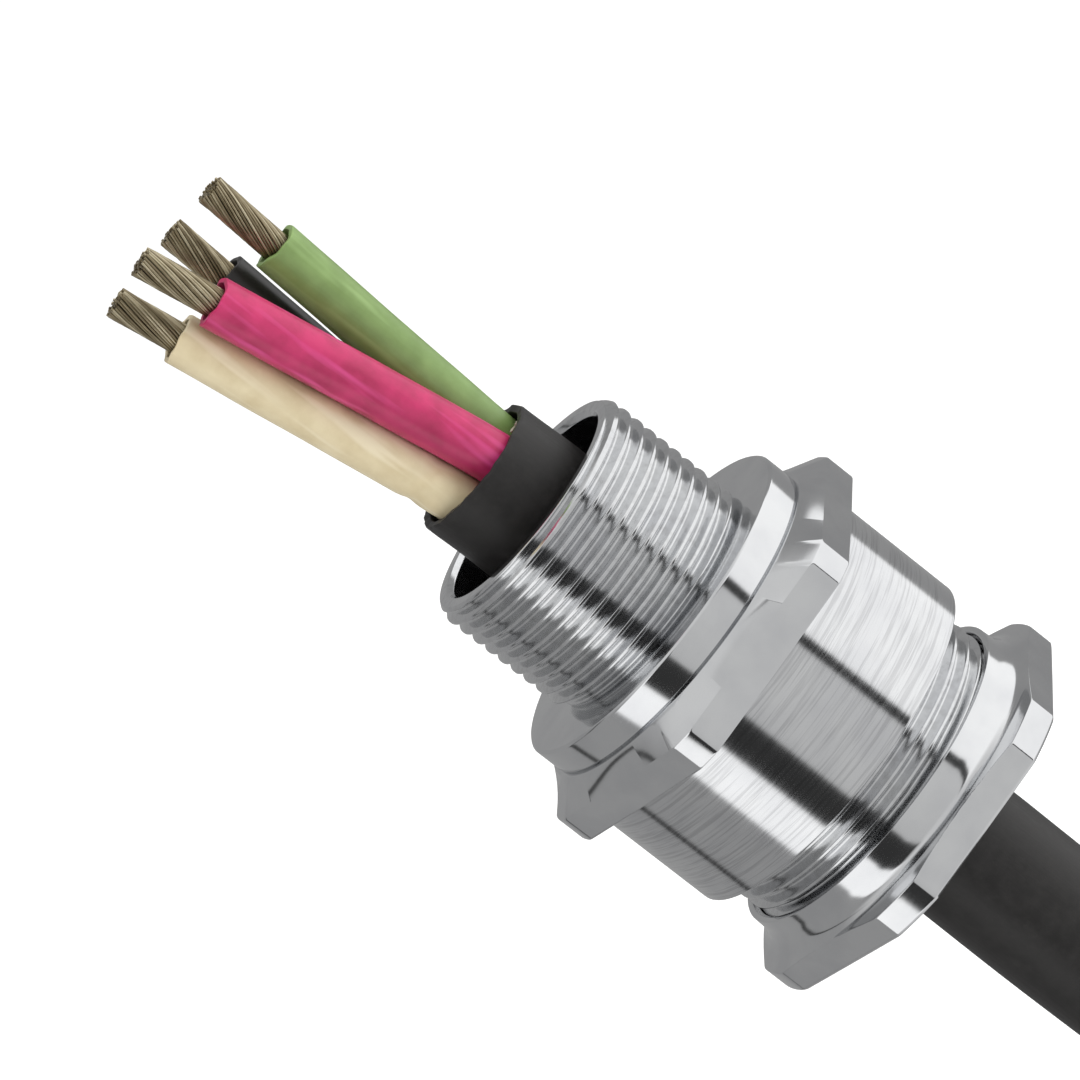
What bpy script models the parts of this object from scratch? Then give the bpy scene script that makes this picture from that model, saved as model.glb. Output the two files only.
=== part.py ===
"""Nickel-plated brass cable gland on the end of a stripped four-core cable.

The axis of the gland is Z. The origin is the centre of the collar's seat face, where the
gland sits against an enclosure wall. +Z runs along the entry thread into the enclosure,
and the cable leaves towards -Z. Each hexagon has a corner towards +X.
"""

import math

import bmesh
import bpy

MM = 0.001

# Clearances
GAP = 0.0003
CORE_GAP = 0.0002

# Turning and bending resolution
TURN_STEPS = 40
CORE_SIDES = 4
CONDUCTOR_SIDES = 3
TAIL_SIDES = 4
MERGE = 0.00001

# Gland body, all lengths along Z
THREAD_PITCH = 1.5 * MM
THREAD_DEPTH = 0.92 * MM
THREAD_SHOULDER = 0.4 * MM
ENTRY_THREAD_RADIUS = 12.5 * MM
ENTRY_THREAD_LENGTH = 15.0 * MM
ENTRY_WALL = 1.28 * MM
ENTRY_BORE_DEPTH = 11.5 * MM
SEAT_WIDTH = 4.2 * MM
COLLAR_ROUND = 0.3 * MM
COLLAR_LENGTH = 3.2 * MM
HEX_FLAT_STEP = 1.5 * MM
HEX_CORNER_TRIM = 0.66 * MM
HEX_LENGTH = 5.25 * MM
HEX_FACE_STEP = 0.34 * MM
HEX_CHAMFER = 2.1 * MM
BARREL_STEP = 1.05 * MM
BARREL_LENGTH = 12.95 * MM
REAR_SHOULDER = 2.15 * MM
REAR_THREAD_LENGTH = 8.4 * MM
CHAMBER_WALL = 2.3 * MM
SEAT_CONE_LENGTH = 3.2 * MM
THROAT_LENGTH = 2.5 * MM

# Back nut
NUT_SHOWN_THREAD = 4.9 * MM
NUT_LENGTH = 6.7 * MM
NUT_FLAT_STEP = 2.6 * MM
NUT_CORNER_TRIM = 1.36 * MM
NUT_NECK_WALL = 0.7 * MM
NUT_NECK_LENGTH = 3.7 * MM
NUT_FACE_DROP = 0.1 * MM
# Steps of the flare from neck to flats: out from the neck, forward of the flats
NUT_FLARE = ((0.1 * MM, 1.9 * MM), (0.6 * MM, 0.9 * MM), (1.4 * MM, 0.35 * MM))
NUT_REAR_CHAMFER = 0.7 * MM
NUT_END_WALL = 1.2 * MM
NUT_SPIGOT_LENGTH = 2.6 * MM

# Pieces inside the gland
FERRULE_LENGTH = 1.2 * MM
CAGE_LENGTH = 6.5 * MM
CAGE_FINGER_LENGTH = 4.2 * MM
CAGE_FINGERS = 8
CAGE_SLOT = 1.3 * MM
WASHER_THICKNESS = 1.2 * MM

# Cable
JACKET_WALL = 0.79 * MM
JACKET_OUT = 6.0 * MM
TAIL_LENGTH = 88.0 * MM
TAIL_TOP = 2.6 * MM
CORE_RADIUS = 2.45 * MM
CORE_WALL = 0.7 * MM
VALLEY_FILLER_RADIUS = 0.7 * MM
STRIPPED_STRAIGHT = 2.0 * MM
CORE_BEND = 0.06
CORE_POINTS = 13

# Each core: colour, angle at the jacket, angle, radius and height at its end, bare length
CORES = {
    "red": ((0.62, 0.045, 0.17), -70.0, -129.3, 5.39 * MM, 28.4 * MM, 7.7 * MM),
    "cream": ((0.68, 0.58, 0.40), -160.0, -175.6, 7.47 * MM, 28.5 * MM, 6.6 * MM),
    "green": ((0.25, 0.38, 0.13), 20.0, -1.7, 4.53 * MM, 26.3 * MM, 8.1 * MM),
    "black": ((0.02, 0.02, 0.021), 110.0, 88.3, 4.53 * MM, 27.7 * MM, 6.4 * MM),
}

# The cable's own way down from the nut, as (sideways along X, sideways along Y, drop)
TAIL_ROUTE = (
    (0.0, 0.0, 0.0),
    (0.0, 0.0, 0.125),
    (0.0, 0.0, 0.25),
    (0.0001, 0.0, 0.375),
    (0.0005, 0.0002, 0.5),
    (0.0011, 0.0005, 0.625),
    (0.0020, 0.0010, 0.75),
    (0.0031, 0.0016, 0.875),
    (0.0044, 0.0024, 1.0),
)

# Radii that follow from the sizes above
ENTRY_BORE_RADIUS = ENTRY_THREAD_RADIUS - THREAD_DEPTH - ENTRY_WALL
SEAT_RADIUS = ENTRY_THREAD_RADIUS + SEAT_WIDTH
COLLAR_RADIUS = SEAT_RADIUS + COLLAR_ROUND
HEX_ACROSS_FLATS = 2 * (COLLAR_RADIUS + HEX_FLAT_STEP)
HEX_CORNER_RADIUS = HEX_ACROSS_FLATS / 2 / math.cos(math.pi / 6) - HEX_CORNER_TRIM
BARREL_RADIUS = COLLAR_RADIUS + BARREL_STEP
REAR_THREAD_RADIUS = BARREL_RADIUS - REAR_SHOULDER
CHAMBER_RADIUS = REAR_THREAD_RADIUS - THREAD_DEPTH - CHAMBER_WALL
INNER_RADIUS = CHAMBER_RADIUS - GAP
NUT_ACROSS_FLATS = 2 * (REAR_THREAD_RADIUS + NUT_FLAT_STEP)
NUT_CORNER_RADIUS = NUT_ACROSS_FLATS / 2 / math.cos(math.pi / 6) - NUT_CORNER_TRIM
BUNDLE_RADIUS = (CORE_RADIUS + CORE_GAP / 2) * math.sqrt(2)
CONDUCTOR_RADIUS = CORE_RADIUS - CORE_WALL - GAP
CENTRE_FILLER_RADIUS = BUNDLE_RADIUS - CORE_RADIUS - GAP
JACKET_BORE = BUNDLE_RADIUS + CORE_RADIUS + CORE_GAP
JACKET_RADIUS = JACKET_BORE + JACKET_WALL
PASSAGE_RADIUS = JACKET_RADIUS + 2 * GAP
FILLER_CIRCLE = JACKET_BORE - CORE_GAP - VALLEY_FILLER_RADIUS

# Heights that follow from the sizes above
FRONT_RIM = ENTRY_THREAD_LENGTH
COLLAR_BACK = -COLLAR_LENGTH
HEX_BACK = COLLAR_BACK - HEX_LENGTH
BARREL_BACK = HEX_BACK - BARREL_LENGTH
BODY_BACK = BARREL_BACK - REAR_THREAD_LENGTH
NUT_FRONT = BARREL_BACK - NUT_SHOWN_THREAD
NUT_BACK = NUT_FRONT - NUT_LENGTH
NUT_WALL_FACE = NUT_BACK + NUT_END_WALL
BORE_STEP = FRONT_RIM - ENTRY_BORE_DEPTH
CHAMBER_FRONT = BORE_STEP - THROAT_LENGTH - SEAT_CONE_LENGTH
WASHER_BACK = NUT_WALL_FACE + NUT_SPIGOT_LENGTH + GAP
WASHER_FRONT = WASHER_BACK + WASHER_THICKNESS
CAGE_BACK = WASHER_FRONT + GAP
CAGE_FRONT = CAGE_BACK + CAGE_LENGTH
FERRULE_FRONT = CHAMBER_FRONT - GAP
FERRULE_BACK = FERRULE_FRONT - FERRULE_LENGTH
SEAL_FRONT = FERRULE_BACK - GAP
SEAL_BACK = CAGE_FRONT + GAP
JACKET_END = FRONT_RIM + JACKET_OUT
TAIL_START = NUT_BACK + TAIL_TOP
CABLE_BACK = TAIL_START + GAP

NICKEL = ((0.60, 0.59, 0.57), 0.24, 1.0)
TINNED_COPPER = ((0.50, 0.42, 0.32), 0.38, 1.0)


def clear_scene():
    for item in list(bpy.data.objects):
        bpy.data.objects.remove(item, do_unlink=True)


def make_collection(name):
    made = bpy.data.collections.new(name)
    bpy.context.scene.collection.children.link(made)
    return made


def make_material(name, colour, roughness, metallic):
    material = bpy.data.materials.new(name)
    material.use_nodes = True
    shader = material.node_tree.nodes["Principled BSDF"]
    shader.inputs["Base Color"].default_value = (*colour, 1.0)
    shader.inputs["Roughness"].default_value = roughness
    shader.inputs["Metallic"].default_value = metallic
    material.diffuse_color = (*colour, 1.0)
    return material


def place(obj, collection, material):
    collection.objects.link(obj)
    obj.data.materials.append(material)
    return obj


def turned(name, outline, steps=TURN_STEPS):
    """A ring turned about Z from a closed outline of (radius, height), outer side first, top to bottom."""
    mesh = bpy.data.meshes.new(name)
    built = bmesh.new()
    points = [built.verts.new((radius, 0.0, height)) for radius, height in outline]
    for first, second in zip(points, points[1:] + points[:1]):
        built.edges.new((first, second))
    built.to_mesh(mesh)
    built.free()
    obj = bpy.data.objects.new(name, mesh)
    screw = obj.modifiers.new("Turn", "SCREW")
    screw.axis = "Z"
    screw.steps = steps
    screw.render_steps = steps
    screw.use_merge_vertices = True
    screw.merge_threshold = MERGE
    screw.use_smooth_shade = True
    return obj


def turned_part(name, outline, material):
    obj = place(turned(name, outline), parts, material)
    obj.data.set_sharp_from_angle(angle=math.radians(35))
    return obj


def thread(radius, top, bottom):
    """Crests and roots of a thread from top to bottom, as (radius, height) points."""
    points = []
    count = int((top - bottom) / THREAD_PITCH)
    start = top - (top - bottom - count * THREAD_PITCH) / 2
    for turn in range(count):
        height = start - turn * THREAD_PITCH
        points.append((radius - THREAD_DEPTH, height))
        points.append((radius, height - 0.42 * THREAD_PITCH))
        points.append((radius, height - 0.58 * THREAD_PITCH))
    points.append((radius - THREAD_DEPTH, start - count * THREAD_PITCH))
    return points


def cut_with(obj, cutter):
    cutter.hide_render = True
    cutter.display_type = "WIRE"
    cutters.objects.link(cutter)
    cut = obj.modifiers.new("Cut", "BOOLEAN")
    cut.operation = "DIFFERENCE"
    cut.solver = "EXACT"
    cut.object = cutter


def cut_flats(obj, across_flats, outside, top, bottom):
    """Cuts six flats with a six-sided ring whose inner faces are the flats."""
    inner = across_flats / 2 / math.cos(math.pi / 6)
    outer = outside * 1.4
    ring = [(outer, top), (outer, bottom), (inner, bottom), (inner, top)]
    cut_with(obj, turned(obj.name + "_flats", ring, steps=6))


def make_body():
    root = ENTRY_THREAD_RADIUS - THREAD_DEPTH
    rear_root = REAR_THREAD_RADIUS - THREAD_DEPTH
    outline = [(root - 0.1 * MM, FRONT_RIM)]
    outline += thread(ENTRY_THREAD_RADIUS, FRONT_RIM - 0.4 * MM, THREAD_SHOULDER)
    outline += [
        (ENTRY_THREAD_RADIUS, THREAD_SHOULDER - 0.1 * MM),
        (ENTRY_THREAD_RADIUS, 0.0),
        (SEAT_RADIUS, 0.0),
        (COLLAR_RADIUS, -COLLAR_ROUND),
        (COLLAR_RADIUS, COLLAR_BACK),
        (COLLAR_RADIUS + HEX_FACE_STEP, COLLAR_BACK),
        (HEX_CORNER_RADIUS, COLLAR_BACK - HEX_CHAMFER),
        (HEX_CORNER_RADIUS, HEX_BACK),
        (BARREL_RADIUS, HEX_BACK),
        (BARREL_RADIUS, BARREL_BACK),
        (rear_root, BARREL_BACK),
    ]
    outline += thread(REAR_THREAD_RADIUS, BARREL_BACK - 0.3 * MM, BODY_BACK + 0.3 * MM)
    outline += [
        (rear_root - 0.1 * MM, BODY_BACK),
        (CHAMBER_RADIUS, BODY_BACK),
        (CHAMBER_RADIUS, CHAMBER_FRONT),
        (PASSAGE_RADIUS, CHAMBER_FRONT + SEAT_CONE_LENGTH),
        (PASSAGE_RADIUS, BORE_STEP),
        (ENTRY_BORE_RADIUS, BORE_STEP),
        (ENTRY_BORE_RADIUS, FRONT_RIM),
    ]
    body = turned_part("gland_body", outline, nickel)
    margin = 1.0 * MM
    cut_flats(
        body,
        HEX_ACROSS_FLATS,
        HEX_CORNER_RADIUS,
        COLLAR_BACK + margin,
        HEX_BACK - margin,
    )


def make_nut():
    bore = REAR_THREAD_RADIUS + GAP
    neck = bore + NUT_NECK_WALL
    face = NUT_FRONT - NUT_NECK_LENGTH
    spigot = CHAMBER_RADIUS - 2 * GAP
    spigot_top = NUT_WALL_FACE + NUT_SPIGOT_LENGTH
    outline = [(neck, NUT_FRONT)]
    outline += [(neck + out, face + forward) for out, forward in NUT_FLARE]
    outline += [
        (NUT_CORNER_RADIUS, face - NUT_FACE_DROP),
        (NUT_CORNER_RADIUS, NUT_BACK + 0.5 * NUT_REAR_CHAMFER),
        (NUT_CORNER_RADIUS - NUT_REAR_CHAMFER, NUT_BACK),
        (PASSAGE_RADIUS, NUT_BACK),
        (PASSAGE_RADIUS, spigot_top),
        (spigot, spigot_top),
        (spigot, NUT_WALL_FACE),
        (bore, NUT_WALL_FACE),
        (bore, NUT_FRONT),
    ]
    nut = turned_part("back_nut", outline, nickel)
    margin = 1.0 * MM
    cut_flats(
        nut,
        NUT_ACROSS_FLATS,
        NUT_CORNER_RADIUS,
        NUT_FRONT + margin,
        NUT_BACK - margin,
    )


def make_ring(name, inner, outer, top, bottom, material):
    outline = [(outer, top), (outer, bottom), (inner, bottom), (inner, top)]
    return turned_part(name, outline, material)


def make_seal():
    inner = JACKET_RADIUS + GAP
    bevel = 0.8 * MM
    outline = [
        (INNER_RADIUS - bevel, SEAL_FRONT),
        (INNER_RADIUS, SEAL_FRONT - bevel),
        (INNER_RADIUS, SEAL_BACK + bevel),
        (INNER_RADIUS - bevel, SEAL_BACK),
        (inner + 0.5 * bevel, SEAL_BACK),
        (inner, SEAL_BACK + bevel),
        (inner, SEAL_FRONT - bevel),
        (inner + 0.5 * bevel, SEAL_FRONT),
    ]
    turned_part("compression_seal", outline, rubber)


def make_cage():
    """A nylon ring whose fingers point at the seal and close on the cable."""
    inner = JACKET_RADIUS + GAP
    tip = INNER_RADIUS - 1.3 * MM
    outline = [
        (tip, CAGE_FRONT),
        (INNER_RADIUS, CAGE_FRONT - CAGE_FINGER_LENGTH),
        (INNER_RADIUS, CAGE_BACK),
        (inner, CAGE_BACK),
        (inner, CAGE_FRONT),
    ]
    cage = turned_part("clamp_cage", outline, nylon)
    for index in range(CAGE_FINGERS):
        slot = bpy.data.meshes.new("slot")
        built = bmesh.new()
        bmesh.ops.create_cube(built, size=1.0)
        reach = INNER_RADIUS * 1.3
        depth = CAGE_FINGER_LENGTH + MM
        bmesh.ops.scale(built, vec=(reach, CAGE_SLOT, depth), verts=built.verts)
        built.to_mesh(slot)
        built.free()
        cutter = bpy.data.objects.new(f"cage_slot_{index + 1}", slot)
        angle = 2 * math.pi * (index + 0.5) / CAGE_FINGERS
        middle = inner * 0.5 + reach / 2
        cutter.location = (
            middle * math.cos(angle),
            middle * math.sin(angle),
            CAGE_FRONT + MM - depth / 2,
        )
        cutter.rotation_euler = (0.0, 0.0, angle)
        cut_with(cage, cutter)


def rod(name, points, radius, sides, material, caps=True):
    """A round rod along straight runs between points."""
    curve = bpy.data.curves.new(name, "CURVE")
    curve.dimensions = "3D"
    curve.bevel_depth = radius
    curve.bevel_resolution = sides
    curve.use_fill_caps = caps
    line = curve.splines.new("POLY")
    line.points.add(len(points) - 1)
    for point, place_at in zip(line.points, points):
        point.co = (*place_at, 1.0)
    line.use_smooth = True
    return place(bpy.data.objects.new(name, curve), parts, material)


def hollow(obj, wall):
    """Turns an uncapped rod into a mesh tube with a wall."""
    bpy.context.view_layer.update()
    graph = bpy.context.evaluated_depsgraph_get()
    mesh = bpy.data.meshes.new_from_object(obj.evaluated_get(graph))
    name = obj.name
    material = obj.data.materials[0]
    bpy.data.objects.remove(obj, do_unlink=True)
    tube = bpy.data.objects.new(name, mesh)
    mesh.materials.clear()
    place(tube, parts, material)
    shell = tube.modifiers.new("Wall", "SOLIDIFY")
    shell.thickness = wall
    shell.offset = -1.0
    shell.use_even_offset = True
    return tube


def on_circle(radius, degrees, height):
    angle = math.radians(degrees)
    return (radius * math.cos(angle), radius * math.sin(angle), height)


def core_route(start_angle, end_angle, end_radius, length):
    """A core's centreline: straight in the jacket, a short bend, then straight to the core's end."""
    start = on_circle(BUNDLE_RADIUS, start_angle, JACKET_END - STRIPPED_STRAIGHT)
    end = on_circle(end_radius, end_angle, JACKET_END + length)
    route = [on_circle(BUNDLE_RADIUS, start_angle, CABLE_BACK)]
    for index in range(CORE_POINTS):
        share = index / (CORE_POINTS - 1)
        sideways = share - CORE_BEND * (1 - math.exp(-share / CORE_BEND))
        sideways /= 1 - CORE_BEND * (1 - math.exp(-1 / CORE_BEND))
        x = start[0] + (end[0] - start[0]) * sideways
        y = start[1] + (end[1] - start[1]) * sideways
        z = start[2] + (end[2] - start[2]) * share
        route.append((x, y, z))
    return route


def beyond(route, extra):
    """The same route with a straight end that is longer by extra."""
    before = route[-2]
    last = route[-1]
    run = [b - a for a, b in zip(before, last)]
    length = math.sqrt(sum(step * step for step in run))
    ahead = tuple(b + step * extra / length for b, step in zip(last, run))
    return route + [ahead]


def make_cores():
    for colour, values in CORES.items():
        shade, start_angle, end_angle, end_radius, length, bare = values
        pvc = make_material(f"pvc_{colour}", shade, 0.38, 0.0)
        route = core_route(start_angle, end_angle, end_radius, length)
        name = f"core_insulation_{colour}"
        hollow(rod(name, route, CORE_RADIUS, CORE_SIDES, pvc, caps=False), CORE_WALL)
        wire = beyond(route, bare)
        rod(f"conductor_{colour}", wire, CONDUCTOR_RADIUS, CONDUCTOR_SIDES, copper)


def make_fillers():
    top = JACKET_END - 0.6 * MM
    middle = [(0.0, 0.0, CABLE_BACK), (0.0, 0.0, top)]
    rod("centre_filler", middle, CENTRE_FILLER_RADIUS, 2, yarn)
    first_angle = CORES["red"][1]
    for index in range(len(CORES)):
        angle = first_angle + 45.0 + 90.0 * index
        ends = [on_circle(FILLER_CIRCLE, angle, height) for height in (CABLE_BACK, top)]
        rod(f"valley_filler_{index + 1}", ends, VALLEY_FILLER_RADIUS, 2, yarn)


def make_tail():
    drop = TAIL_LENGTH
    points = [(x, y, TAIL_START - drop * share) for x, y, share in TAIL_ROUTE]
    rod("cable_tail", points, JACKET_RADIUS, TAIL_SIDES, jacket_rubber)


clear_scene()
parts = make_collection("cable_gland")
cutters = make_collection("cutters")
cutters.hide_render = True

nickel = make_material("nickel_plated_brass", *NICKEL)
copper = make_material("stranded_copper", *TINNED_COPPER)
rubber = make_material("neoprene_seal", (0.03, 0.03, 0.032), 0.7, 0.0)
nylon = make_material("nylon_cage", (0.62, 0.62, 0.60), 0.45, 0.0)
brass = make_material("plain_brass", (0.66, 0.50, 0.24), 0.3, 1.0)
jacket_rubber = make_material("cable_jacket_pvc", (0.022, 0.021, 0.020), 0.5, 0.0)
yarn = make_material("filler_yarn", (0.55, 0.53, 0.48), 0.9, 0.0)

make_body()
make_nut()
make_ring("front_ferrule", PASSAGE_RADIUS, INNER_RADIUS, FERRULE_FRONT, FERRULE_BACK, brass)
make_seal()
make_cage()
make_ring("skid_washer", PASSAGE_RADIUS, INNER_RADIUS, WASHER_FRONT, WASHER_BACK, brass)
make_ring(
    "cable_jacket", JACKET_BORE, JACKET_RADIUS, JACKET_END, CABLE_BACK, jacket_rubber
)
make_cores()
make_fillers()
make_tail()
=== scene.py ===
import math
import random

import bpy
import numpy as np
from mathutils import Matrix, Vector, noise


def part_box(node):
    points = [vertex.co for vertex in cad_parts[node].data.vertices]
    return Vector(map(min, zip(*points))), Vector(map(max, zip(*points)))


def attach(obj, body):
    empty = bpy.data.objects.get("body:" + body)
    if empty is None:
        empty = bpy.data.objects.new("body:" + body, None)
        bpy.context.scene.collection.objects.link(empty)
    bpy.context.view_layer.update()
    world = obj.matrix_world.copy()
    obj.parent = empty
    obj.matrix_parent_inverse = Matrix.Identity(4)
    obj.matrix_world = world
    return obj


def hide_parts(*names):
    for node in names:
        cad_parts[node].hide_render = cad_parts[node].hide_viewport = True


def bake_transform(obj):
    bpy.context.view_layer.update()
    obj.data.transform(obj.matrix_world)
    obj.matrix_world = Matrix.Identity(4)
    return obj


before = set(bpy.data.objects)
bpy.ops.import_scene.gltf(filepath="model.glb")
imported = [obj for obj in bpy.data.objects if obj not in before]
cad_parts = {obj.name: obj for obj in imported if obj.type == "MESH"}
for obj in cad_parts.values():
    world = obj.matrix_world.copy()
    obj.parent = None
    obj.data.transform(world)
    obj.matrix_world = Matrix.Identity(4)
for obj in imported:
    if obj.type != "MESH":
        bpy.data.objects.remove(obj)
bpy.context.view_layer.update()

mm = 0.001
bpy.context.scene.view_settings.view_transform = "Standard"
print("frame loaded:", len(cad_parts), "nodes")


def toLinear(hexText):
    parts = [int(hexText[i:i + 2], 16) / 255 for i in (1, 3, 5)]
    return tuple(c / 12.92 if c <= 0.04045 else ((c + 0.055) / 1.055) ** 2.4 for c in parts) + (1.0,)


def addNode(tree, kind, settings=None, **inputs):
    # one node, its settings, and each input as a number, a colour or a link from another socket
    node = tree.nodes.new(kind)
    for key, value in (settings or {}).items():
        setattr(node, key, value)
    for key, value in inputs.items():
        socket = node.inputs[int(key[1:])] if key[0] == "i" and key[1:].isdigit() else node.inputs[
            key.replace("_", " ")
        ]
        if isinstance(value, bpy.types.NodeSocket):
            tree.links.new(value, socket)
        else:
            socket.default_value = value
    return node


def newMaterial(name, **shaderInputs):
    material = bpy.data.materials.new(name)
    material.use_nodes = True
    tree = material.node_tree
    tree.nodes.clear()
    shader = addNode(tree, "ShaderNodeBsdfPrincipled", None, **shaderInputs)
    out = addNode(tree, "ShaderNodeOutputMaterial")
    tree.links.new(shader.outputs["BSDF"], out.inputs["Surface"])
    return material, tree, shader


def ramp(tree, factor, stops):
    node = addNode(tree, "ShaderNodeValToRGB", None, Fac=factor)
    while len(node.color_ramp.elements) < len(stops):
        node.color_ramp.elements.new(0.5)
    for element, (place, colour) in zip(node.color_ramp.elements, stops):
        element.position = place
        element.color = colour
    return node.outputs["Color"]


def grey(value):
    return (value, value, value, 1.0)


def roundTurnCoords(tree, roundScale, alongScale):
    # coordinates that run round the axis and along it, so a pattern can follow the lathe tool
    coords = addNode(tree, "ShaderNodeTexCoord")
    split = addNode(tree, "ShaderNodeSeparateXYZ", None, Vector=coords.outputs["Object"])
    angle = addNode(
        tree, "ShaderNodeMath", {"operation": "ARCTAN2"}, i0=split.outputs["Y"], i1=split.outputs["X"],
    )
    sine = addNode(tree, "ShaderNodeMath", {"operation": "SINE"}, i0=angle.outputs[0])
    cosine = addNode(tree, "ShaderNodeMath", {"operation": "COSINE"}, i0=angle.outputs[0])
    across = addNode(tree, "ShaderNodeMath", {"operation": "MULTIPLY"}, i0=sine.outputs[0], i1=roundScale)
    deep = addNode(tree, "ShaderNodeMath", {"operation": "MULTIPLY"}, i0=cosine.outputs[0], i1=roundScale)
    along = addNode(
        tree, "ShaderNodeMath", {"operation": "MULTIPLY"}, i0=split.outputs["Z"], i1=alongScale,
    )
    joined = addNode(
        tree, "ShaderNodeCombineXYZ", None, X=across.outputs[0], Y=deep.outputs[0], Z=along.outputs[0],
    )
    return joined.outputs[0], coords.outputs["Object"]


# materials

nickel = {"plate": "#DADBDC", "smudge": "#D1D2D4", "turningMarkMm": 0.28, "smudgeMm": 5.0}


def platedBrass(name, roughness, markDepth, markRound, tint=nickel["plate"], grime=0.0, lines=0.0):
    # bright nickel plate over turned brass: a near-mirror whose tool marks blur it along the axis
    material, tree, shader = newMaterial(name, Metallic=1.0)
    turning, plain = roundTurnCoords(tree, markRound, 1 / (nickel["turningMarkMm"] * mm))
    marks = addNode(
        tree, "ShaderNodeTexNoise", None, Vector=turning, Scale=1.0, Detail=3.0, Roughness=0.65,
    )
    smudge = addNode(
        tree, "ShaderNodeTexNoise", None, Vector=plain, Scale=1 / (nickel["smudgeMm"] * mm), Detail=4.0,
    )
    tone = ramp(tree, smudge.outputs["Fac"], [(0.35, toLinear(nickel["smudge"])), (0.62, toLinear(tint))])
    if lines:
        # the tool's finest rings show as light and dark hairlines
        hair = ramp(tree, marks.outputs["Fac"], [(0.38, grey(lines)), (0.52, grey(0))])
        tone = addNode(
            tree, "ShaderNodeMix", {"data_type": "RGBA"}, i0=hair, i6=tone, i7=toLinear("#77777A"),
        ).outputs[2]
    if grime:
        fine = addNode(tree, "ShaderNodeTexNoise", None, Vector=plain, Scale=1 / (0.8 * mm), Detail=5.0)
        dirt = ramp(tree, fine.outputs["Fac"], [(0.45, grey(0)), (0.7, grey(grime))])
        tone = addNode(
            tree, "ShaderNodeMix", {"data_type": "RGBA"}, i0=dirt, i6=tone, i7=toLinear("#6E6A64"),
        ).outputs[2]
    tree.links.new(tone, shader.inputs["Base Color"])
    spread = addNode(tree, "ShaderNodeMapRange", None, Value=marks.outputs["Fac"])
    spread.inputs["To Min"].default_value = roughness * 0.75
    spread.inputs["To Max"].default_value = roughness * 1.3
    tree.links.new(spread.outputs["Result"], shader.inputs["Roughness"])
    bump = addNode(
        tree, "ShaderNodeBump", None, Strength=markDepth, Distance=0.00002, Height=marks.outputs["Fac"],
    )
    tree.links.new(bump.outputs["Normal"], shader.inputs["Normal"])
    return material


def extrudedPvc(name, lit, shade, roughness, highlightStreak, lineDepth=0.25):
    # soft PVC drawn over the wire: its lit and shaded tones mixed as faint clouding (painted light and
    # shade), long painted highlight streaks and a broad soft shine
    material, tree, shader = newMaterial(name)
    coords = addNode(tree, "ShaderNodeTexCoord")
    cloud = addNode(
        tree, "ShaderNodeTexNoise", None, Vector=coords.outputs["Object"], Scale=1 / (2.6 * mm),
        Detail=5.0,
    )
    # painted light and shade: the core's lit and shaded tones, mixed at random as clouding
    tone = ramp(tree, cloud.outputs["Fac"], [(0.3, toLinear(shade)), (0.68, toLinear(lit))])
    # painted highlight: long lighter streaks laid along the core
    run = addNode(tree, "ShaderNodeMapping", None, Vector=coords.outputs["Object"])
    run.inputs["Scale"].default_value = (1 / (1.5 * mm), 1 / (1.5 * mm), 1 / (22 * mm))
    highlightBand = addNode(tree, "ShaderNodeTexNoise", None, Vector=run.outputs[0], Scale=1.0, Detail=2.0)
    share = ramp(tree, highlightBand.outputs["Fac"], [(0.55, grey(0)), (0.66, grey(0.7))])
    tone = addNode(
        tree, "ShaderNodeMix", {"data_type": "RGBA"}, i0=share, i6=tone, i7=toLinear(highlightStreak),
    ).outputs[2]
    tree.links.new(tone, shader.inputs["Base Color"])
    gloss = addNode(tree, "ShaderNodeMapRange", None, Value=cloud.outputs["Fac"])
    gloss.inputs["To Min"].default_value = roughness * 0.8
    gloss.inputs["To Max"].default_value = roughness * 1.25
    tree.links.new(gloss.outputs["Result"], shader.inputs["Roughness"])
    drawn = addNode(tree, "ShaderNodeMapping", None, Vector=coords.outputs["Object"])
    drawn.inputs["Scale"].default_value = (1 / (0.35 * mm), 1 / (0.35 * mm), 1 / (3.5 * mm))
    lines = addNode(tree, "ShaderNodeTexNoise", None, Vector=drawn.outputs[0], Scale=1.0, Detail=3.0)
    bump = addNode(
        tree, "ShaderNodeBump", None, Strength=lineDepth, Distance=0.00004, Height=lines.outputs["Fac"],
    )
    tree.links.new(bump.outputs["Normal"], shader.inputs["Normal"])
    shader.inputs["Specular IOR Level"].default_value = 0.5
    return material


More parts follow.
